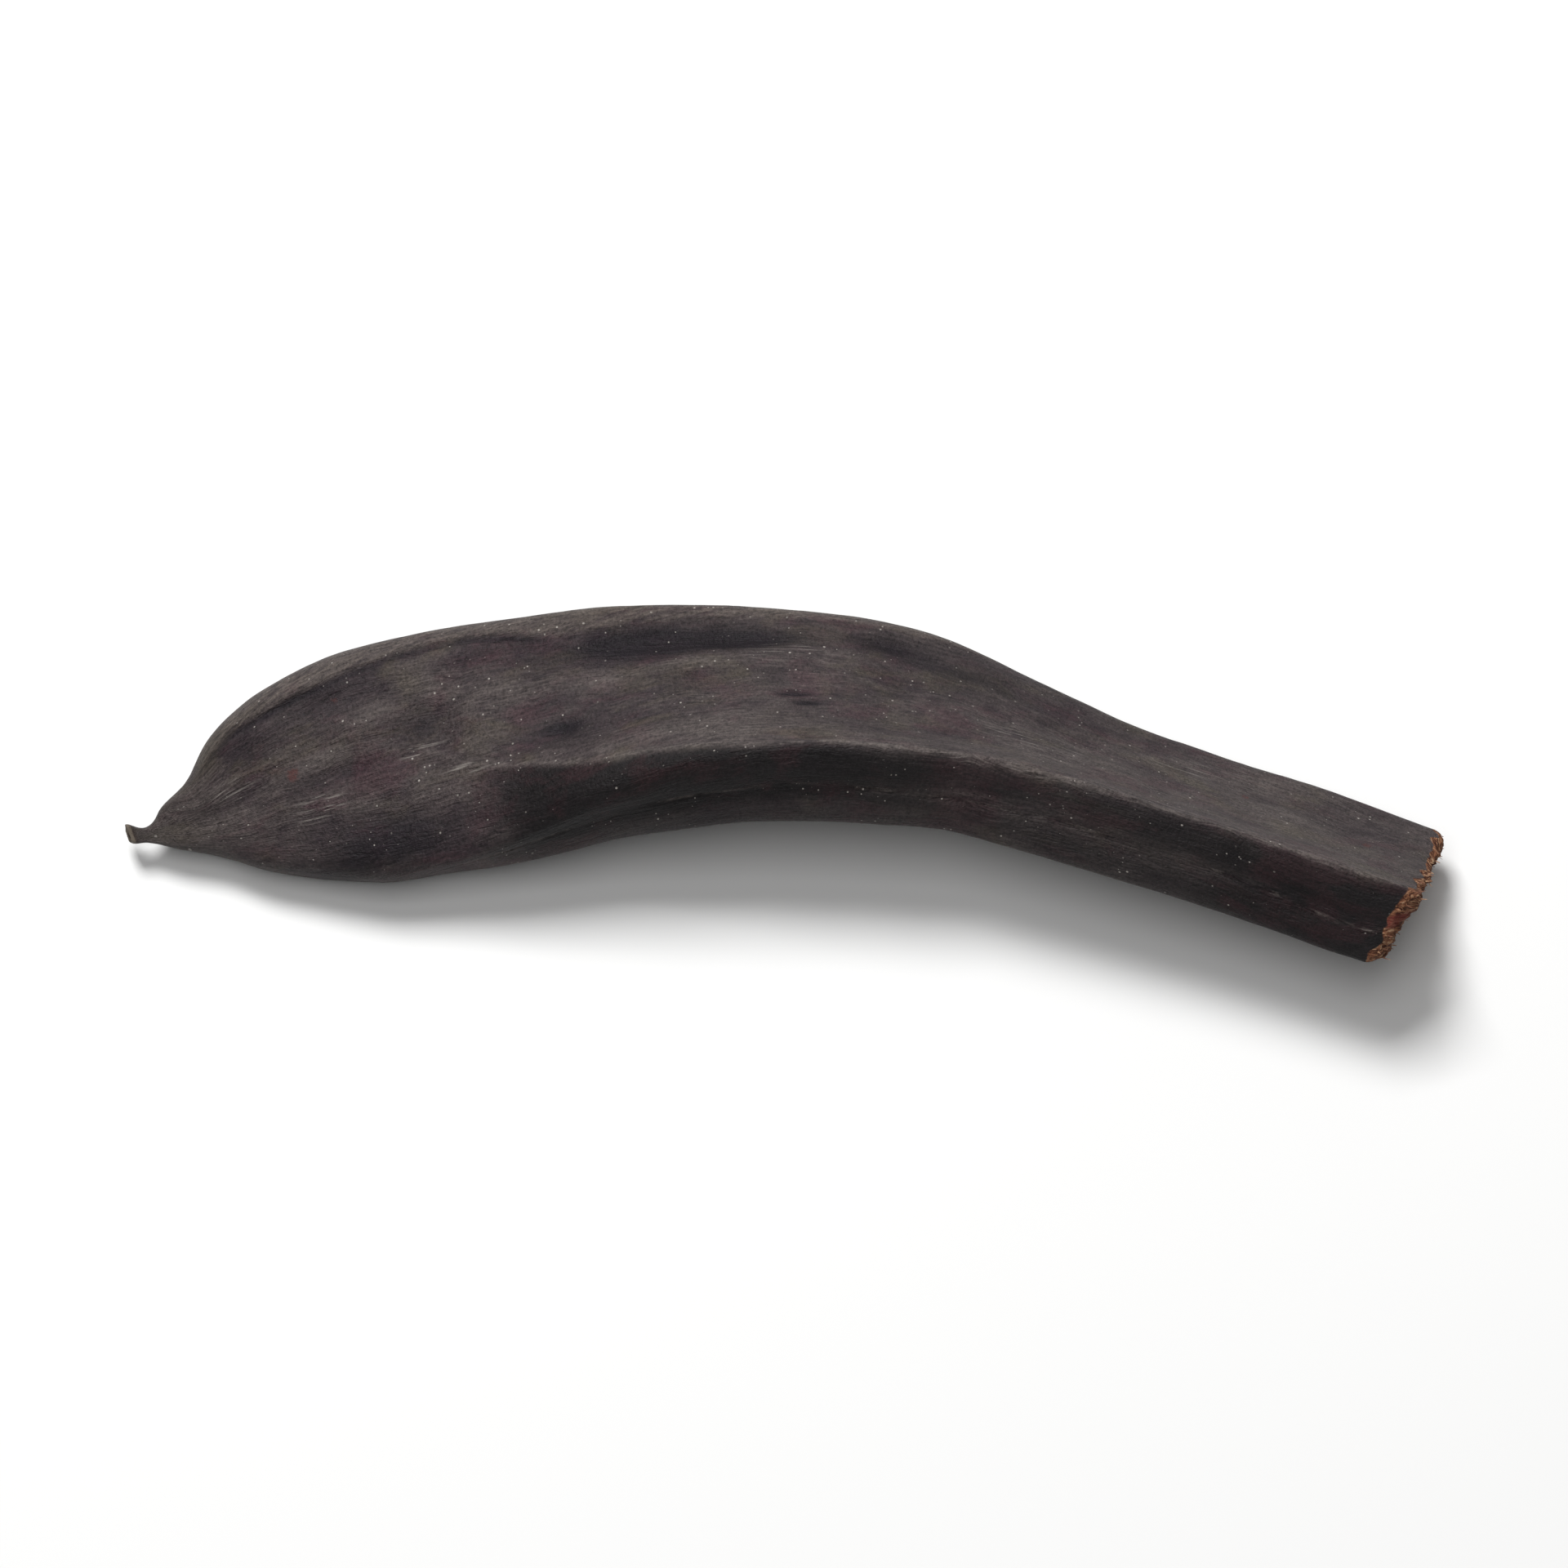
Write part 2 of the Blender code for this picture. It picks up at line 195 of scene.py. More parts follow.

# Where fine pale streaks of painted sheen gather on small wrinkles, with their strength in place of a
# height.
Sheen_streak_spots = (
    (21.0, -3.4, 1.0, 3.0, 1.3),
    (32.5, -0.8, 1.0, 2.4, 0.9),
    (37.0, -3.8, 0.9, 2.8, 0.7),
    (12.0, 1.5, 0.6, 3.0, 1.2),
    (69.0, 4.6, 0.6, 5.0, 1.4),
    (94.0, -2.0, 0.6, 6.0, 2.0),
    (112.0, 3.5, 0.5, 7.0, 2.0),
)

# Rusty spots, and pale flecks near the stalk: distance along, place across, reach.
Rusty_spots = ((18.6, 0.6, 0.8), (24.4, 6.6, 0.35), (116.5, 2.0, 0.5), (129.5, 0.6, 0.6))
Flecks = ((5.9, -2.3, 0.30), (3.1, -0.35, 0.22), (8.0, -0.3, 0.16))

# Red pulp on the torn face: its place across and through, and its reach both ways.
Red_pulp = (-8.4, 1.2)
Red_pulp_reach = (1.4, 1.2)

# Waves of the dried skin and of the torn pulp: height, length, width, and the seed of their noise.
Broad_waves = (0.22, 15, 5.0, 3.0)
Waves = (0.20, 7.5, 2.2, 11.0)
Small_waves = (0.06, 4.5, 1.1, 31.0)
Fine_waves = (0.025, 1.6, 0.55, 47.0)
Wrinkled_patches = (1, 14, 7, 23.0)
Tears = (0.36, 1.6, 0.9, 5.0)
Small_tears = (0.24, 0.7, 0.35, 9.0)

# Heights of the rest of the relief, and how much the crease is darkened as painted shade.
Ridge_height = 0.20
Second_ridge_height = 0.12
Rim_height = 0.10
Fine_crease_height = 0.08
Seam_height = 0.12
Crease_depth = 0.20
Crease_shade = 0.30

# The neck: how much it swells and then draws in again towards the outer seam, and how much it
# swells towards the inner one.
Swell = 1.0
Swell_at = 4.4
Draw_in = 0.45
Draw_in_at = 8.8
Neck_reach = 2.2
Neck_blend = 1.2
Inner_swell = 0.4
Inner_swell_in = (2.5, 5.5)
Inner_swell_out = (17, 12)

# The stalk's end. The slants say how much further back the scar is one radius from its middle.
Stalk_radius = 0.9
Stalk_flare = 0.28
Flare_in = (2.2, 0.7)
Rounded_lip_in = (0.6, 0)
Slant_in = (2.6, 0.2)
Slant_through = 0.35
Slant_across = -0.45
Set_back = 0.10
Dish_depth = 0.25

# Fibres crowd together where the pod is narrow. Its width is measured in slices.
Slice = 1.5
Least_half_width = 0.8
Usual_half_width = 11.0


def select_only(piece):
    """Makes this the one piece that the next operators work on."""
    bpy.ops.object.select_all(action="DESELECT")
    piece.select_set(True)
    bpy.context.view_layer.objects.active = piece


def copy_of_node(node, name):
    """A copy of a CAD node whose loose triangles are merged and joined into quads."""
    piece = bpy.data.objects.new(name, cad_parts[node].data.copy())
    bpy.context.scene.collection.objects.link(piece)
    piece.data.materials.clear()
    select_only(piece)
    flat_enough = math.radians(60)
    bpy.ops.mesh.customdata_custom_splitnormals_clear()
    bpy.ops.object.mode_set(mode="EDIT")
    bpy.ops.mesh.select_all(action="SELECT")
    bpy.ops.mesh.remove_doubles(threshold=Merged_within * MM)
    bpy.ops.mesh.tris_convert_to_quads(face_threshold=flat_enough, shape_threshold=flat_enough)
    bpy.ops.object.mode_set(mode="OBJECT")
    bpy.ops.object.shade_smooth()
    return piece


def refine(piece, levels):
    """Subdivides the active piece and keeps the result."""
    finer = piece.modifiers.new("finer", "SUBSURF")
    finer.levels = finer.render_levels = levels
    bpy.ops.object.modifier_apply(modifier=finer.name)


def points_of(piece):
    """The piece's points, in millimetres."""
    points = np.empty(len(piece.data.vertices) * 3, np.float32)
    piece.data.vertices.foreach_get("co", points)
    return points.reshape(-1, 3).astype(float) / MM


def normals_of(piece):
    normals = np.empty(len(piece.data.vertices) * 3, np.float32)
    piece.data.vertex_normals.foreach_get("vector", normals)
    return normals.reshape(-1, 3).astype(float)


def move_points(piece, points):
    """Puts the piece's points here, in millimetres, but never outside the CAD model's box."""
    inside = np.clip(points * MM, np.array(cad_low), np.array(cad_high))
    piece.data.vertices.foreach_set("co", inside.astype(np.float32).ravel())
    piece.data.update()


def keep_value(piece, name, values):
    """Keeps one number for each point, which the piece's material reads by this name."""
    attribute = piece.data.attributes.get(name) or piece.data.attributes.new(name, "FLOAT", "POINT")
    attribute.data.foreach_set("value", np.asarray(values, np.float32))


def value_of(piece, name):
    values = np.empty(len(piece.data.vertices), np.float32)
    piece.data.attributes[name].data.foreach_get("value", values)
    return values.astype(float)


def smooth_step(low, high, values):
    """0 at low, 1 at high, and smooth between them."""
    share = np.clip((values - low) / (high - low), 0, 1)
    return share * share * (3 - 2 * share)


def bell(distance, reach):
    return np.exp(-((distance / reach) ** 2))


def row_dots(vectors, others):
    """The dot product of each vector with the other one in its row."""
    return (vectors * others).sum(axis=1)


def straighten(points):
    """Each point's place along, across and through the pod, and the ways that these run there."""
    side_at, height_at, lean_at = (
        np.polynomial.Polynomial.fit(Middle_line[:, 0], column, Line_degree)
        for column in Middle_line[:, 1:].T
    )
    x = points[:, 0].copy()
    for _ in range(Search_rounds):
        middle = np.stack([x, side_at(x), height_at(x)], axis=1)
        ahead = np.stack([np.ones_like(x), side_at.deriv()(x), height_at.deriv()(x)], axis=1)
        x += row_dots(points - middle, ahead) / row_dots(ahead, ahead)
        x = np.clip(x, Line_from, Line_to)
    ahead /= np.linalg.norm(ahead, axis=1)[:, None]
    level = np.cross((0, 0, 1), ahead)
    level /= np.linalg.norm(level, axis=1)[:, None]
    upright = np.cross(ahead, level)
    turn = np.radians(lean_at(x))[:, None]
    across = np.cos(turn) * level - np.sin(turn) * upright
    through = np.sin(turn) * level + np.cos(turn) * upright

    steps = np.linspace(Line_from, Line_to, Line_steps)
    line = np.stack([steps, side_at(steps), height_at(steps)], axis=1)
    travelled = np.concatenate([[0], np.cumsum(np.linalg.norm(np.diff(line, axis=0), axis=1))])
    travelled -= np.interp(Middle_line[0, 0], steps, travelled)
    along = np.interp(x, steps, travelled)
    side = row_dots(points - middle, across)
    face = row_dots(points - middle, through)
    return np.stack([along, side, face], axis=1), ahead, across, through


def away_from_middle(place, across, through):
    """The way straight out from the middle line, at each place."""
    away = place[:, 1:2] * across + place[:, 2:3] * through
    return away / (np.linalg.norm(away, axis=1)[:, None] + Tiny)


def ripples(place, height, long, wide, seed):
    """Noise of this height, in waves this long along the pod and this wide across it."""
    spots = place / np.array((long, wide, wide))
    return height * np.array([noise.noise(Vector(spot) + Vector((0, 0, seed))) for spot in spots])


pod = copy_of_node("pod", "carob_pod")

# Torn faces look along the pod, and the open chamber's walls look inwards.
place, ahead, across, through = straighten(points_of(pod))
along, side, face = place.T
normals = normals_of(pod)
facing_out = row_dots(normals, away_from_middle(place, across, through))
facing_ahead = row_dots(normals, ahead)
chamber = (np.abs(side) < Chamber_half_width) & (np.abs(face) < Chamber_half_height)
chamber &= facing_out < Chamber_walls_look_out
chamber |= (along < Length - Chamber_end_depth) & (facing_ahead > Chamber_end_looks_ahead)
chamber &= along > Length - Chamber_depth
tear = (along > Length - Torn_depth) & (facing_ahead > Tear_looks_ahead)
keep_value(pod, "chamber", chamber)
keep_value(pod, "pulp", tear | chamber)
keep_value(pod, "scar", (along < Scar_reach) & (facing_ahead < Scar_looks_ahead))
refine(pod, levels=2)

points = points_of(pod)
normals = normals_of(pod)
place, ahead, across, through = straighten(points)
along, side, face = place.T
chamber = value_of(pod, "chamber")
on_skin = 1 - smooth_step(0.2, 0.7, value_of(pod, "pulp"))

slices = np.arange(0, Length + 4, Slice)
widest = [
    np.abs(side[(np.abs(along - at) < Slice) & (on_skin > 0.5)]).max(initial=Least_half_width)
    for at in slices
]
half_width = np.interp(along, slices, widest)
spreading = Usual_half_width / half_width
grain = np.stack([along, side * spreading, face * spreading], axis=1)


def beside(line):
    """How far each point is from a line on the face, towards the outer seam."""
    return side - np.interp(along, *zip(*line))


# Where each feature of the skin lies, from 0 to 1.
upper = smooth_step(-0.3, 0.8, face)
wide_enough = smooth_step(2.0, 7.0, half_width)
to_seam = np.abs(side) / half_width
from_ridge = beside(Ridge_line)
from_rim = beside(Rim_line)
ridge = bell(from_ridge, Ridge_reach) * smooth_step(*Ridge_in, along) * upper
second_ridge = bell(from_ridge - Second_ridge_gap, Second_ridge_reach) * upper
second_ridge *= smooth_step(*Second_ridge_in, along)
# Painted shade on the side that turns away below the ridge, half as dark on its lower part except
# towards the break.
underside_shade = smooth_step(0.1, -0.9, from_ridge) * smooth_step(*Underside_in, along)
underside_shade *= 1 - 0.5 * smooth_step(-0.8, -2.5, face) * smooth_step(*Half_shaded_lower_face_out, along)
rim = smooth_step(-0.5, 0.5, from_rim) * smooth_step(*Rim_in, along) * upper
crease = bell(from_rim + Crease_gap, Crease_reach) * upper
crease *= smooth_step(*Crease_in, along) * smooth_step(*Crease_out, along)
fine_crease = bell(beside(Fine_crease_line), Fine_crease_reach) * upper
fine_crease *= smooth_step(*Fine_crease_in, along) * smooth_step(*Fine_crease_out, along)
seam = bell(face, Seam_reach) * smooth_step(0.8, 0.95, to_seam)
# A painted highlight along the inner seam's edge near the stalk, where it catches the light.
stalk_edge_highlight = bell(face - 0.35, 0.45) * smooth_step(0, -1, side) * smooth_step(0.82, 0.95, to_seam)
stalk_edge_highlight *= smooth_step(*Stalk_edge_in, along) * smooth_step(*Stalk_edge_out, along)


def spread(spots):
    """The sum of humps and hollows, each a place along and across, a height and its two reaches."""
    rises = (rise * bell(along - a, long) * bell(side - u, wide) for a, u, rise, long, wide in spots)
    return sum(rises) * upper


def dotted(spots):
    """The sum of round spots, each a place along and across and a reach."""
    dots = (bell(np.hypot(along - a, side - u), reach) for a, u, reach in spots)
    return sum(dots) * upper


red_pulp = bell(side - Red_pulp[0], Red_pulp_reach[0]) * bell(face - Red_pulp[1], Red_pulp_reach[1])
rust = dotted(Rusty_spots) * on_skin + red_pulp * (1 - on_skin)

# The last third of the pod is plainer than the rest.
wrinkled = smooth_step(-0.25, 0.35, ripples(grain, *Wrinkled_patches))
plain_end = 1 - 0.55 * smooth_step(*Plain_end_in, along)
relief = ripples(grain, *Broad_waves) + spread(Dents)
relief += ripples(grain, *Waves) * (0.35 + 0.65 * wrinkled) * plain_end
relief += ripples(grain, *Small_waves) * wrinkled * plain_end
relief += ripples(grain, *Fine_waves)
relief += Ridge_height * ridge + Second_ridge_height * second_ridge - Crease_depth * crease
relief += Rim_height * rim + Fine_crease_height * fine_crease
relief += Seam_height * seam * (1 - 2.2 * bell(face, 0.2))
relief *= wide_enough * on_skin
points += normals * relief[:, None]

torn = (1 - on_skin) * (1 - smooth_step(0.3, 0.7, chamber))
tear = ripples(place, *Tears) + ripples(place, *Small_tears)
points += ahead * (torn * tear)[:, None]

# The neck is a little fuller than the solid's, mostly towards the outer seam.
fuller = Swell * bell(along - Swell_at, Neck_reach) - Draw_in * bell(along - Draw_in_at, Neck_reach)
fuller *= smooth_step(0, Neck_blend, side)
inner_neck = smooth_step(*Inner_swell_in, along) * smooth_step(*Inner_swell_out, along)
fuller -= Inner_swell * inner_neck * smooth_step(0, -Neck_blend, side)
points += across * fuller[:, None]

# The stalk's end flares, and its dished scar looks a little upwards and towards the inner seam.
radii_out = np.hypot(side, face) / Stalk_radius
flare = smooth_step(*Flare_in, along) * (1 - 0.6 * smooth_step(*Rounded_lip_in, along))
flare *= Stalk_flare * np.minimum(radii_out, 1)
points += away_from_middle(place, across, through) * flare[:, None]
slanted = Slant_through * face / Stalk_radius + Slant_across * side / Stalk_radius + Set_back
slanted *= smooth_step(*Slant_in, along)
dished = value_of(pod, "scar") * smooth_step(0.9, 0.3, radii_out)
points += ahead * (slanted + Dish_depth * dished)[:, None]
move_points(pod, points)

fibre_place = pod.data.attributes.new("grain", "FLOAT_VECTOR", "POINT")
fibre_place.data.foreach_set("vector", grain.astype(np.float32).ravel())
# Painted highlight along the ridge's crest, stronger towards the break, and along the second ridge
# and the fine crease.
crest_highlight = ridge * (0.6 + 0.4 * smooth_step(*Bright_crest_in, along))
kept_values = {
    # The shading map is painted shade and light: the skin reads it as darker hollows and paler humps.
    "painted_shading": relief + spread(Patches) - Crease_shade * crease * on_skin,
    "ridge": np.maximum(crest_highlight, 0.8 * second_ridge) + 0.55 * fine_crease,
    "underside_shade": underside_shade,
    "rim": rim,
    "rust": rust,
    # The seams' pale lines are painted highlight along these edges.
    "seam": np.maximum(bell(face, 0.30) * seam, stalk_edge_highlight) * (1 - ridge),
    "along": along,
    "painted_sheen": spread(Sheen_streak_spots),
    "fleck": dotted(Flecks),
    "lip": smooth_step(0.9, 0.4, along) * smooth_step(0.45, 0.8, radii_out),
}
for name, values in kept_values.items():
    keep_value(pod, name, values)


class Value:
    """One socket of a material. An expression on these adds the Math nodes that work it out."""

    def __init__(self, finish, socket):
        self.finish = finish
        self.socket = socket

    def math(self, operation, *others):
        inputs = dict(enumerate((self, *others)))
        return self.finish.node("ShaderNodeMath", {"operation": operation}, inputs)

    def __add__(self, other):
        return self.math("ADD", other)

    __radd__ = __add__

    def __mul__(self, other):
        return self.math("MULTIPLY", other)

    __rmul__ = __mul__

    def __sub__(self, other):
        return self.math("SUBTRACT", other)

    def __rsub__(self, other):
        return (self * -1).math("ADD", other)

    def step(self, low, high):
        """0 at low, 1 at high, and smooth between them."""
        inputs = {"Value": self, "From Min": low, "From Max": high}
        return self.finish.node("ShaderNodeMapRange", {"interpolation_type": "SMOOTHSTEP"}, inputs)


class Finish:
    """The nodes of one material."""

    def __init__(self, name):
        self.material = bpy.data.materials.new(name)
        self.material.use_nodes = True
        self.shader = self.material.node_tree.nodes["Principled BSDF"]

    def node(self, kind, settings=None, inputs=None, output=0):
        """Adds a node with these settings, and these values or links in its sockets."""
        made = self.material.node_tree.nodes.new(kind)
        for name, value in (settings or {}).items():
            setattr(made, name, value)
        for name, value in (inputs or {}).items():
            self.feed(made.inputs[name], value)
        return Value(self, made.outputs[output])

    def feed(self, socket, value):
        if isinstance(value, Value):
            self.material.node_tree.links.new(value.socket, socket)
        elif socket.type == "RGBA":
            socket.default_value = (*value, 1.0)
        else:
            socket.default_value = value

    def attribute(self, name, output="Fac"):
        return self.node("ShaderNodeAttribute", {"attribute_name": name}, output=output)

    def stretched(self, at, scale, shift=(0, 0, 0)):
        inputs = {"Vector": at, "Scale": scale, "Location": shift}
        return self.node("ShaderNodeMapping", inputs=inputs)

    def noise(self, at, scale=1.0, detail=2.0, roughness=0.5, distortion=0.0):
        inputs = {"Vector": at, "Scale": scale, "Detail": detail}
        inputs.update({"Roughness": roughness, "Distortion": distortion})
        return self.node("ShaderNodeTexNoise", inputs=inputs)

    def streaky(self, at, along, across, shift=(0, 0, 0), **kind):
        """Noise with this many waves to the millimetre along the pod and across it."""
        return self.noise(self.stretched(at, (along, across, across), shift), **kind)

    def specks(self, at, size):
        """Small round spots, one to a cell and up to this size, 1 in the middle and 0 outside."""
        cells = {"Vector": at, "Scale": 1.0, "Randomness": 1.0}
        distance = self.node("ShaderNodeTexVoronoi", inputs=cells)
        own_size = self.node("ShaderNodeTexVoronoi", inputs=cells, output=1).step(0.45, 0.95) * size
        return distance.step(own_size, own_size * 0.4)

    def blend(self, how, one, other, share=1.0):
        inputs = {0: share, 6: one, 7: other}
        settings = {"data_type": "RGBA", "blend_type": how, "clamp_result": False}
        return self.node("ShaderNodeMix", settings, inputs, output=2)

    def mix(self, one, other, share):
        """The colour that is this share of the way from one to the other."""
        return self.blend("MIX", one, other, share)

    def paint(self, colour, coats):
        """Lays coats over a colour one after another, each a colour of its own and its share."""
        for coat, share in coats:
            colour = self.mix(colour, coat, share)
        return colour

    def grey(self, value):
        """A number as a grey colour."""
        return self.node("ShaderNodeCombineColor", inputs={0: value, 1: value, 2: value})

    def bump(self, height, depth, strength, normal=None):
        inputs = {"Height": height, "Distance": depth * MM, "Strength": strength}
        if normal:
            inputs["Normal"] = normal
        return self.node("ShaderNodeBump", inputs=inputs)

    def set(self, **values):
        """Sets the shader's sockets, whose names are given with _ for a space."""
        for name, value in values.items():
            self.feed(self.shader.inputs[name.replace("_", " ")], value)


# The skin's colours: its ground, dust, and painted shade, light, highlights and sheen.
Plum = (0.030, 0.021, 0.024)
Grey_brown = (0.053, 0.041, 0.041)
Wine = (0.048, 0.022, 0.028)
Olive = (0.068, 0.056, 0.038)
Blotch_black = (0.016, 0.009, 0.014)
Dust_and_light_grey = (0.120, 0.102, 0.094)
Rim_grey_and_light = (0.130, 0.107, 0.092)
Hollow_shade_black = (0.005, 0.003, 0.006)
Underside_shade_black = (0.006, 0.0045, 0.0052)
Underside_shade_red = (0.034, 0.012, 0.015)
Crest_highlight_grey = (0.15, 0.13, 0.12)
Seam_highlight_grey = (0.14, 0.12, 0.11)
Sheen_streak_grey = (0.20, 0.18, 0.165)
Rust_red = (0.070, 0.022, 0.020)
Speck_white = (0.38, 0.35, 0.32)

# The stalk's and the pulp's.
Neck_grey = (0.17, 0.15, 0.14)
Scar_brown = (0.050, 0.034, 0.027)
Lip_tan = (0.24, 0.20, 0.155)
Pulp_brown = (0.060, 0.018, 0.010)
Pulp_orange = (0.36, 0.155, 0.078)
Pulp_straw = (0.66, 0.45, 0.28)
Pulp_red = (0.20, 0.036, 0.032)
Lining_brown = (0.26, 0.15, 0.08)
Lining_tan = (0.50, 0.36, 0.21)

# Depths of the finest relief, which only the light shows.
Fibre_depth = 0.32
Thread_depth = 0.7


def pod_finish():
    """Dusty, satin, brown-grey skin with long fibres, painted shade and highlights, and torn
    orange-brown pulp.
    """
    skin = Finish("carob_skin")
    grain = skin.attribute("grain", "Vector")
    painted_shading = skin.attribute("painted_shading")
    underside_shade = skin.attribute("underside_shade")
    rim = skin.attribute("rim")
    rust = skin.attribute("rust")
    along = skin.attribute("along")

    # Fibres waver a little, and those of the rim run askew.
    wander = skin.noise(grain, 0.16) * 1.6
    bend = skin.node("ShaderNodeCombineXYZ", inputs={"Y": wander, "Z": wander})
    wavy = skin.node("ShaderNodeVectorMath", {"operation": "ADD"}, {0: grain, 1: bend})
    turned = {"Vector": grain, "Angle": -0.30}
    askew = skin.node("ShaderNodeVectorRotate", {"rotation_type": "Z_AXIS"}, turned)
    fibres = skin.streaky(wavy, 0.26, 3.8, detail=3.0, roughness=0.75)
    long_fibres = skin.streaky(wavy, 0.07, 1.0)
    rim_fibres = skin.streaky(askew, 0.18, 2.6, detail=4.0, roughness=0.7)
    streaks = skin.streaky(grain, 0.13, 3.6, (5, 5, 5))
    threads = skin.streaky(grain, 0.9, 2.4, detail=4.0, roughness=0.65, distortion=0.6)
    speckle = skin.noise(grain, 3.2, roughness=0.7)
    clouds = skin.streaky(grain, 0.10, 0.22, detail=4.0, roughness=0.6, distortion=0.4)
    small_clouds = skin.streaky(grain, 0.30, 0.7, detail=4.0, roughness=0.65, distortion=0.3)
    reds = skin.streaky(grain, 0.13, 0.25, (7, 3, 1), detail=4.0, roughness=0.6, distortion=0.5)
    olives = skin.streaky(grain, 0.12, 0.22, (2, 9, 4), detail=4.0, roughness=0.6, distortion=0.5)
    blotches = skin.streaky(grain, 0.34, 0.55, (3, 3, 9), detail=4.0, roughness=0.6, distortion=0.4)

    # Dust and painted light: the skin is paler where the shading map is high, on the humps.
    dust_and_painted_light = (small_clouds * 0.8 + painted_shading * 1.2 + fibres * 0.5).step(0.42, 1.12)
    # Painted shade, near black where the shading map is lowest, in the hollows and creases.
    hollow_shade = (painted_shading + small_clouds * 0.35 + fibres * 0.25 - 0.30).step(-0.06, -0.75)
    # Painted highlight: a pale line along the ridges where their edges catch the light.
    crest_highlight = skin.attribute("ridge").step(0.35, 0.95) * fibres.step(0.36, 0.62)
    # Painted highlight: pale lines along the seams' edges.
    seam = skin.attribute("seam").step(0.35, 0.85) * small_clouds.step(0.42, 0.62)
    colour = skin.mix(Plum, Grey_brown, clouds.step(0.32, 0.64))
    colour = skin.paint(colour, (
        (Wine, reds.step(0.48, 0.66) * 0.65),
        (Olive, olives.step(0.50, 0.70) * 0.5),
        (Blotch_black, blotches.step(0.52, 0.66) * 0.45),
        (Dust_and_light_grey, dust_and_painted_light * 0.55),
        # The rim band is partly the skin's own grey askew fibres, partly painted light where it faces
        # the light.
        (Rim_grey_and_light, rim * rim_fibres.step(0.34, 0.66) * 0.60),
        (Hollow_shade_black, hollow_shade * 0.88),
        # Painted shade below the ridge: near black, with some of the skin's dark red in it.
        (Underside_shade_black, underside_shade * 0.96),
        (Underside_shade_red, underside_shade * reds.step(0.46, 0.62) * 0.40),
        (Crest_highlight_grey, crest_highlight * 0.4),
        (Seam_highlight_grey, seam * 0.5),
    ))
    colour = skin.blend("MULTIPLY", colour, skin.grey(1.6 * fibres + 1.9 * speckle - 0.86))

    # Painted sheen: fine pale streaks where small wrinkles catch the light.
    painted_sheen = (skin.attribute("painted_sheen") + small_clouds * 0.8 - 0.35).step(0.10, 0.85)
    rusty = (rust * (3.0 * speckle - 0.5)).step(0.35, 0.9)
    specks = skin.specks(skin.stretched(grain, (1.6, 1.8, 1.8)), 0.26) * small_clouds.step(0.42, 0.56)
    flecks = skin.attribute("fleck").step(0.5, 0.9)
    grey_neck = along.step(6.5, 2.0) * speckle.step(0.35, 0.65)
    lip = (skin.attribute("lip") * (2.6 * speckle - 0.4)).step(0.2, 0.8)
    scar = skin.mix(Scar_brown, Lip_tan, lip)
    colour = skin.paint(colour, (
        (Sheen_streak_grey, streaks.step(0.54, 0.68) * painted_sheen * 0.85),
        (Rust_red, rusty * 0.7),
        (Speck_white, (specks + flecks) * 0.85),
        (Neck_grey, grey_neck * 0.6),
        (scar, along.step(1.3, 0.4) * 0.85),
    ))

    flesh = skin.mix(Pulp_brown, Pulp_orange, threads.step(0.38, 0.60))
    lining = skin.mix(Lining_brown, Lining_tan, small_clouds.step(0.35, 0.65))
    flesh = skin.paint(flesh, (
        (Pulp_straw, threads.step(0.54, 0.68) * 0.8),
        (Pulp_red, rust.step(0.3, 0.8) * 0.75),
        (lining, skin.attribute("chamber").step(0.3, 0.7)),
    ))
    torn = (skin.attribute("pulp") + small_clouds * 0.3 - 0.15).step(0.42, 0.60)
    colour = skin.mix(colour, flesh, torn)

    roughness = 0.50 + dust_and_painted_light * 0.10 + fibres * 0.10 + torn * 0.3
    height = fibres * 0.7 + long_fibres * 0.4 + rim * rim_fibres * 0.6 + speckle * 0.45
    normal = skin.bump(height, Fibre_depth, 0.9)
    normal = skin.bump(threads, Thread_depth, torn * 0.9, normal)
    skin.set(Base_Color=colour, Roughness=roughness, Normal=normal, Specular_IOR_Level=0.2)
    return skin.material


pod.data.materials.append(pod_finish())
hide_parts("pod")
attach(pod, "root")


# Fibres of the pulp that the snap pulled out: stiff, straw-coloured, thinner towards their ends and
# rooted in the torn face. They are one piece of many short strands.

Strands = 70
Points_on_strand = 4
Strand_radius = 0.07
Strand_lengths = (0.4, 1.05)
Strand_girths = (0.6, 1.5)
Strand_taper = 0.65
Strand_sway = 0.35
Strand_curl = 0.3
Strand_splay = 0.4
Buried = 0.25
Kept_inside = 0.15
Rooted_from = Length - 3.4
Strand_brown = (0.16, 0.055, 0.028)
Strand_straw = (0.48, 0.29, 0.165)
Strand_waves_a_metre = 700.0
Strand_relief = 0.04

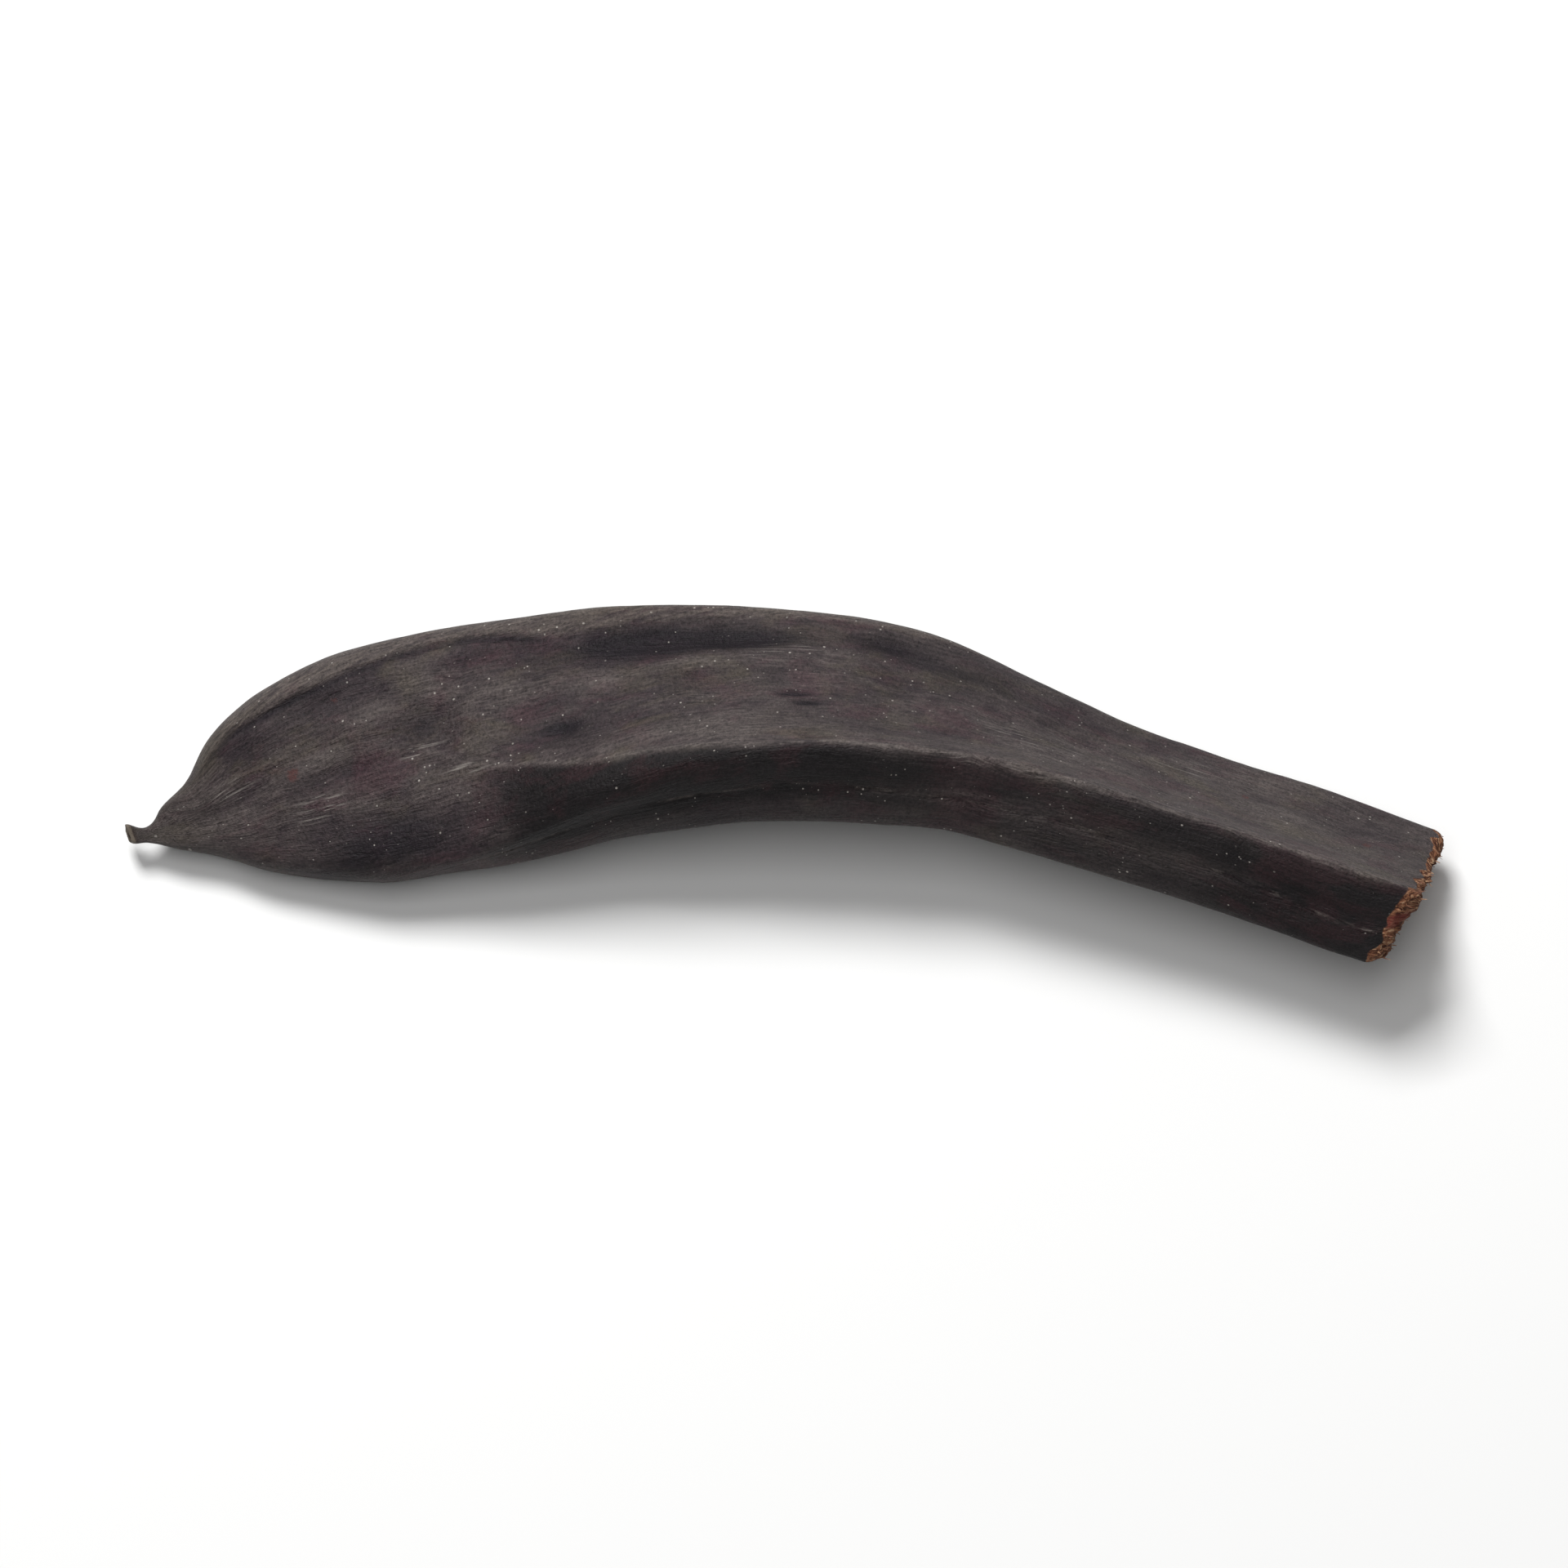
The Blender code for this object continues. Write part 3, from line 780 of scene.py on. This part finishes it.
random.seed(7)
roots = points_of(pod)
pulled = np.flatnonzero((torn > 0.9) & (along > Rooted_from) & (row_dots(normals, ahead) > 0.2))
lowest = np.array(cad_low) / MM + Kept_inside
highest = np.array(cad_high) / MM - Kept_inside
strands = bpy.data.curves.new("carob_torn_fibres", "CURVE")
strands.dimensions = "3D"
strands.bevel_depth = Strand_radius * MM
strands.bevel_resolution = 1
strands.use_fill_caps = True
for root in random.sample(list(pulled), Strands):
    sway = np.array([random.uniform(-Strand_sway, Strand_sway) for _ in range(3)])
    heading = ahead[root] + Strand_splay * normals[root] + sway
    heading /= np.linalg.norm(heading)
    start = roots[root] - Buried * heading
    room = (np.where(heading > 0, highest - start, start - lowest) / np.abs(heading)).min()
    length = min(random.uniform(*Strand_lengths), room)
    girth = random.uniform(*Strand_girths)
    strand = strands.splines.new("POLY")
    strand.points.add(Points_on_strand - 1)
    for count, point in enumerate(strand.points):
        share = count / (Points_on_strand - 1)
        spot = start + length * share * (heading + Strand_curl * share * sway)
        point.co = (*(spot * MM), 1.0)
        point.radius = girth * (1 - Strand_taper * share)
torn_fibres = bpy.data.objects.new("carob_torn_fibres", strands)
bpy.context.scene.collection.objects.link(torn_fibres)
select_only(torn_fibres)
bpy.ops.object.convert(target="MESH")
bpy.ops.object.shade_smooth()

straw = Finish("carob_straw")
on_strands = straw.node("ShaderNodeTexCoord", output="Object")
tone = straw.noise(on_strands, Strand_waves_a_metre, 3.0, 0.6)
straw_colour = straw.mix(Strand_brown, Strand_straw, tone.step(0.38, 0.62))
straw_normal = straw.bump(tone, Strand_relief, 0.6)
straw.set(Base_Color=straw_colour, Roughness=0.55 + tone * 0.3, Normal=straw_normal)
torn_fibres.data.materials.append(straw.material)
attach(torn_fibres, "root")


# The seed that lay in the broken chamber: hard and flattened, with a glossy reddish-brown coat. It is
# loose between the two pale papery walls.

Coat_brown = (0.13, 0.036, 0.018)
Coat_chestnut = (0.26, 0.085, 0.045)
Mottles_a_metre = 420.0
Crackles_a_metre = 2600.0
Crackle_depth = 0.04

seed = copy_of_node("seed", "carob_seed")
refine(seed, levels=2)
coat = Finish("carob_seed_coat")
on_seed = coat.node("ShaderNodeTexCoord", output="Object")
mottle = coat.noise(on_seed, Mottles_a_metre, 4.0, 0.55)
crackle = coat.noise(on_seed, Crackles_a_metre)
coat_colour = coat.mix(Coat_brown, Coat_chestnut, mottle.step(0.32, 0.68))
coat_normal = coat.bump(crackle, Crackle_depth, 0.5)
coat.set(Base_Color=coat_colour, Roughness=0.20 + mottle * 0.16, Normal=coat_normal)
seed.data.materials.append(coat.material)
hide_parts("seed")
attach(seed, "root")


# The studio: a plain pale floor, a soft light from behind and above, and a broader, weaker one
# overhead. The camera stands almost straight above, a little in front. Lengths are in metres here,
# apart from the width of its sensor.

Floor_side = 6.0
Floor_white = (0.86, 0.86, 0.855)
World_white = (1.0, 1.0, 1.0, 1.0)
World_strength = 0.11
Camera_tilt = 80.0
Camera_distance = 0.8
Framed_width = 0.159
Sensor_width = 36.0
Aim = Vector((0, 0, 0.010))

# The lights: name, place, side, watts.
Lights = (
    ("light_behind", (-0.20, 0.50, 0.85), 0.32, 10.5),
    ("light_above", (-0.10, 0.0, 1.20), 0.60, 4.0),
)

bpy.ops.object.select_all(action="DESELECT")
bpy.ops.mesh.primitive_plane_add(size=Floor_side)
floor = bpy.context.object
floor.name = "studio_floor"
paper = Finish("studio_paper")
paper.set(Base_Color=Floor_white, Roughness=0.85)
floor.data.materials.append(paper.material)

for name, spot, size, watts in Lights:
    lamp = bpy.data.objects.new(name, bpy.data.lights.new(name, "AREA"))
    lamp.data.energy = watts
    lamp.data.size = size
    lamp.location = spot
    lamp.rotation_euler = (Aim - Vector(spot)).to_track_quat("-Z", "Y").to_euler()
    bpy.context.scene.collection.objects.link(lamp)

world = bpy.data.worlds.new("studio_world")
world.use_nodes = True
world.node_tree.nodes["Background"].inputs["Color"].default_value = World_white
world.node_tree.nodes["Background"].inputs["Strength"].default_value = World_strength
bpy.context.scene.world = world

camera = bpy.data.objects.new("camera", bpy.data.cameras.new("camera"))
tilt = math.radians(Camera_tilt)
camera.location = Aim + Camera_distance * Vector((0, -math.cos(tilt), math.sin(tilt)))
camera.rotation_euler = (math.pi / 2 - tilt, 0, 0)
camera.data.sensor_width = Sensor_width
camera.data.lens = Sensor_width * Camera_distance / Framed_width
bpy.context.scene.collection.objects.link(camera)
bpy.context.scene.camera = camera
bpy.context.scene.view_settings.view_transform = "Standard"
